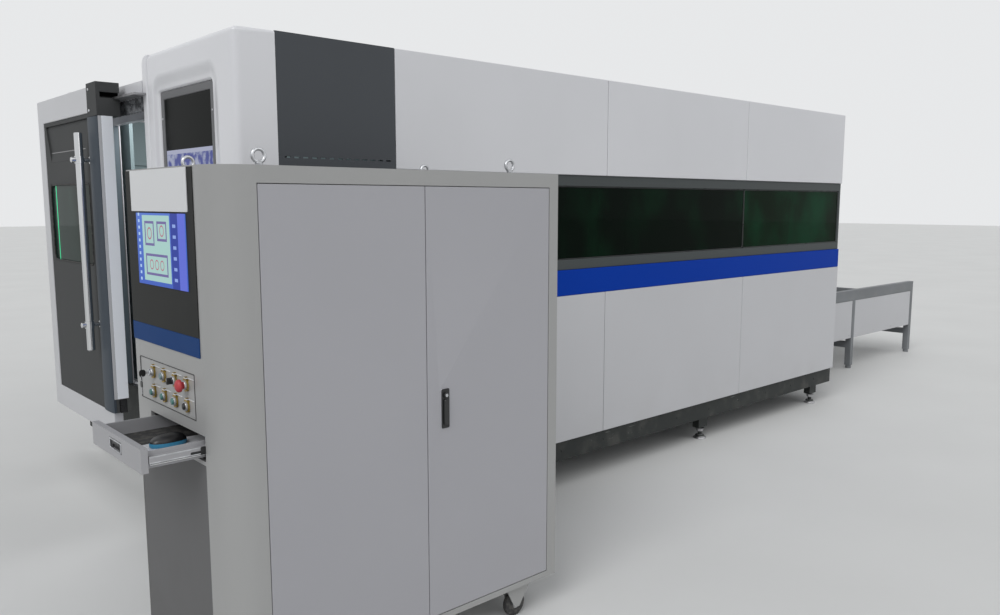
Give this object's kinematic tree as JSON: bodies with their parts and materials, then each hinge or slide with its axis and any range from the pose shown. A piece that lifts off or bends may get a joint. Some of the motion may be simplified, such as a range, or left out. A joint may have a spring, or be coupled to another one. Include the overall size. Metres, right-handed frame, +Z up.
{
  "type": "fiber laser cutting machine",
  "caption": "Enclosed fiber laser cutter with a sliding operator door, windowed side, separate control cabinet and a roll-out pallet table behind.",
  "frame": {"origin": "middle of the footprint of machine, cabinet and table together, on the floor", "axes": "+X along the machine from the operator end to the pallet table, +Y from the cabinet side into the machine's depth, +Z up"},
  "size_m": [8.545, 3.5903, 2.28],
  "materials": {
    "base_skirt": "satin near-black powder coat",
    "bed_frame": "satin teal-grey paint",
    "blue_band": "satin blue powder coat",
    "button_plate": "light grey plate with gold-coloured rings",
    "cabinet_door_left": "satin pale grey powder coat",
    "cabinet_door_right": "satin pale grey powder coat",
    "cabinet_shell": "satin warm grey powder coat",
    "caster_wheel_1": "dull black tread",
    "caster_wheel_2": "dull black tread",
    "caster_wheel_3": "dull black tread",
    "caster_wheel_4": "dull black tread",
    "console_fascia": "satin charcoal",
    "console_screen": "lit display glass",
    "cutting_head": "black anodised body with copper nozzle",
    "door_frame": "satin white powder coat",
    "door_handle": "polished tube",
    "door_liner": "satin white powder coat",
    "door_panel": "satin dark grey powder coat",
    "door_window": "polished dark green tinted laser-safe acrylic",
    "electrical_plate": "zinc-plated plate with mounted devices",
    "emergency_stop": "red mushroom",
    "end_wall": "satin white powder coat",
    "exchange_frame": "satin grey paint",
    "far_frame": "satin grey paint",
    "far_wall": "satin white powder coat",
    "gantry_beam": "satin teal-grey paint",
    "head_carriage": "satin dark grey powder coat",
    "head_monitor": "matt dark grey",
    "head_screen": "glossy black display glass",
    "inner_liner": "satin teal-grey paint",
    "inner_pallet": "scaled mild steel slats",
    "jog_button": "green-grey cap",
    "key_switch": "polished lock barrel with key",
    "keyboard_drawer": "satin white powder coat",
    "laser_source": "satin warm grey powder coat",
    "lower_panel_1": "satin white powder coat",
    "lower_panel_2": "satin white powder coat",
    "lower_panel_3": "satin white powder coat",
    "mode_selector": "black",
    "mouse": "black",
    "near_frame": "satin grey paint",
    "operator_head": "satin white powder coat",
    "outer_pallet": "scaled mild steel slats",
    "pallet_gate": "satin dark grey powder coat",
    "pause_button": "green lit cap",
    "rear_wall": "satin white powder coat",
    "reset_button": "green lit cap",
    "resume_button": "green lit cap",
    "roof_sheet": "satin white powder coat",
    "scrap_tray": "satin grey paint",
    "side_pane_1": "polished dark green tinted laser-safe acrylic",
    "side_pane_2": "polished dark green tinted laser-safe acrylic",
    "start_button": "green lit cap",
    "swing_latch": "black",
    "top_bellows": "pleated coated fabric",
    "upper_panel_1": "satin white powder coat",
    "upper_panel_2": "satin white powder coat",
    "upper_panel_3": "satin white powder coat",
    "vent_panel": "satin dark grey powder coat",
    "window_frame": "satin dark grey powder coat"
  },
  "bodies": {
    "machine": {"base_skirt": "base_skirt", "bed_frame": "bed_frame", "blue_band": "blue_band", "button_plate": "button_plate", "cabinet_shell": "cabinet_shell", "console_fascia": "console_fascia", "console_screen": "console_screen", "electrical_plate": "electrical_plate", "end_wall": "end_wall", "exchange_frame": "exchange_frame", "far_frame": "far_frame", "far_wall": "far_wall", "head_monitor": "head_monitor", "head_screen": "head_screen", "inner_liner": "inner_liner", "laser_source": "laser_source", "lower_panel_1": "lower_panel_1", "lower_panel_2": "lower_panel_2", "lower_panel_3": "lower_panel_3", "near_frame": "near_frame", "operator_head": "operator_head", "rear_wall": "rear_wall", "roof_sheet": "roof_sheet", "scrap_tray": "scrap_tray", "side_pane_1": "side_pane_1", "side_pane_2": "side_pane_2", "top_bellows": "top_bellows", "upper_panel_1": "upper_panel_1", "upper_panel_2": "upper_panel_2", "upper_panel_3": "upper_panel_3", "vent_panel": "vent_panel", "window_frame": "window_frame"},
    "sliding_door": {"door_frame": "door_frame", "door_panel": "door_panel", "door_liner": "door_liner", "door_window": "door_window", "door_handle": "door_handle"},
    "cabinet_door_left": {"cabinet_door_left": "cabinet_door_left"},
    "cabinet_door_right": {"cabinet_door_right": "cabinet_door_right"},
    "swing_latch": {"swing_latch": "swing_latch"},
    "keyboard_drawer": {"keyboard_drawer": "keyboard_drawer", "mouse": "mouse"},
    "key_switch": {"key_switch": "key_switch"},
    "jog_button": {"jog_button": "jog_button"},
    "mode_selector": {"mode_selector": "mode_selector"},
    "emergency_stop": {"emergency_stop": "emergency_stop"},
    "start_button": {"start_button": "start_button"},
    "pause_button": {"pause_button": "pause_button"},
    "resume_button": {"resume_button": "resume_button"},
    "reset_button": {"reset_button": "reset_button"},
    "caster_wheel_1": {"caster_wheel_1": "caster_wheel_1"},
    "caster_wheel_2": {"caster_wheel_2": "caster_wheel_2"},
    "caster_wheel_3": {"caster_wheel_3": "caster_wheel_3"},
    "caster_wheel_4": {"caster_wheel_4": "caster_wheel_4"},
    "gantry": {"gantry_beam": "gantry_beam"},
    "carriage": {"head_carriage": "head_carriage"},
    "cutting_head": {"cutting_head": "cutting_head"},
    "inner_pallet": {"inner_pallet": "inner_pallet"},
    "outer_pallet": {"outer_pallet": "outer_pallet"},
    "pallet_gate": {"pallet_gate": "pallet_gate"}
  },
  "joints": [
    {"name": "door_slide", "type": "slide", "parent": "machine", "child": "sliding_door", "axis": [0, 1, 0], "range_m": [-0.195, 0.41]},
    {"name": "left_door_hinge", "type": "hinge", "parent": "machine", "child": "cabinet_door_left", "pos_m": [-3.9615, -1.78285, 0.9], "axis": [0, 0, -1], "range_deg": [0, 115]},
    {"name": "right_door_hinge", "type": "hinge", "parent": "machine", "child": "cabinet_door_right", "pos_m": [-2.7905, -1.78285, 0.9], "axis": [0, 0, 1], "range_deg": [0, 115]},
    {"name": "latch_swing", "type": "hinge", "parent": "cabinet_door_right", "child": "swing_latch", "pos_m": [-3.2965, -1.79115, 0.944], "axis": [0, 1, 0], "range_deg": [0, 90]},
    {"name": "drawer_slide", "type": "slide", "parent": "machine", "child": "keyboard_drawer", "axis": [1, 0, 0], "range_m": [-0.15, 0.185]},
    {"name": "key_turn", "type": "hinge", "parent": "machine", "child": "key_switch", "pos_m": [-4.0875, -1.26285, 1.055], "axis": [1, 0, 0], "range_deg": [0, 90]},
    {"name": "jog_push", "type": "slide", "parent": "machine", "child": "jog_button", "axis": [1, 0, 0], "range_m": [0, 0.003], "stiffness_N_per_m": 400},
    {"name": "selector_turn", "type": "hinge", "parent": "machine", "child": "mode_selector", "pos_m": [-4.0875, -1.44085, 1.055], "axis": [1, 0, 0], "range_deg": [-45, 45]},
    {"name": "stop_push", "type": "slide", "parent": "machine", "child": "emergency_stop", "axis": [1, 0, 0], "range_m": [0, 0.004], "stiffness_N_per_m": 800},
    {"name": "start_push", "type": "slide", "parent": "machine", "child": "start_button", "axis": [1, 0, 0], "range_m": [0, 0.003], "stiffness_N_per_m": 400},
    {"name": "pause_push", "type": "slide", "parent": "machine", "child": "pause_button", "axis": [1, 0, 0], "range_m": [0, 0.003], "stiffness_N_per_m": 400},
    {"name": "resume_push", "type": "slide", "parent": "machine", "child": "resume_button", "axis": [1, 0, 0], "range_m": [0, 0.003], "stiffness_N_per_m": 400},
    {"name": "reset_push", "type": "slide", "parent": "machine", "child": "reset_button", "axis": [1, 0, 0], "range_m": [0, 0.003], "stiffness_N_per_m": 400},
    {"name": "caster_1_roll", "type": "hinge", "parent": "machine", "child": "caster_wheel_1", "pos_m": [-3.9025, -1.73885, 0.05], "axis": [0, 1, 0], "continuous": true},
    {"name": "caster_2_roll", "type": "hinge", "parent": "machine", "child": "caster_wheel_2", "pos_m": [-3.9025, -1.12685, 0.05], "axis": [0, 1, 0], "continuous": true},
    {"name": "caster_3_roll", "type": "hinge", "parent": "machine", "child": "caster_wheel_3", "pos_m": [-2.9275, -1.73885, 0.05], "axis": [0, 1, 0], "continuous": true},
    {"name": "caster_4_roll", "type": "hinge", "parent": "machine", "child": "caster_wheel_4", "pos_m": [-2.9275, -1.12685, 0.05], "axis": [0, 1, 0], "continuous": true},
    {"name": "gantry_travel", "type": "slide", "parent": "machine", "child": "gantry", "axis": [1, 0, 0], "range_m": [0, 3.3]},
    {"name": "carriage_travel", "type": "slide", "parent": "gantry", "child": "carriage", "axis": [0, 1, 0], "range_m": [-0.62, 0.6]},
    {"name": "head_travel", "type": "slide", "parent": "carriage", "child": "cutting_head", "axis": [0, 0, 1], "range_m": [-0.1, 0]},
    {"name": "inner_pallet_travel", "type": "slide", "parent": "machine", "child": "inner_pallet", "axis": [1, 0, 0], "range_m": [0, 3.25]},
    {"name": "outer_pallet_travel", "type": "slide", "parent": "machine", "child": "outer_pallet", "axis": [1, 0, 0], "range_m": [-3.25, 0]},
    {"name": "gate_lift", "type": "slide", "parent": "machine", "child": "pallet_gate", "axis": [0, 0, 1], "range_m": [-0.66, 0]}
  ]
}
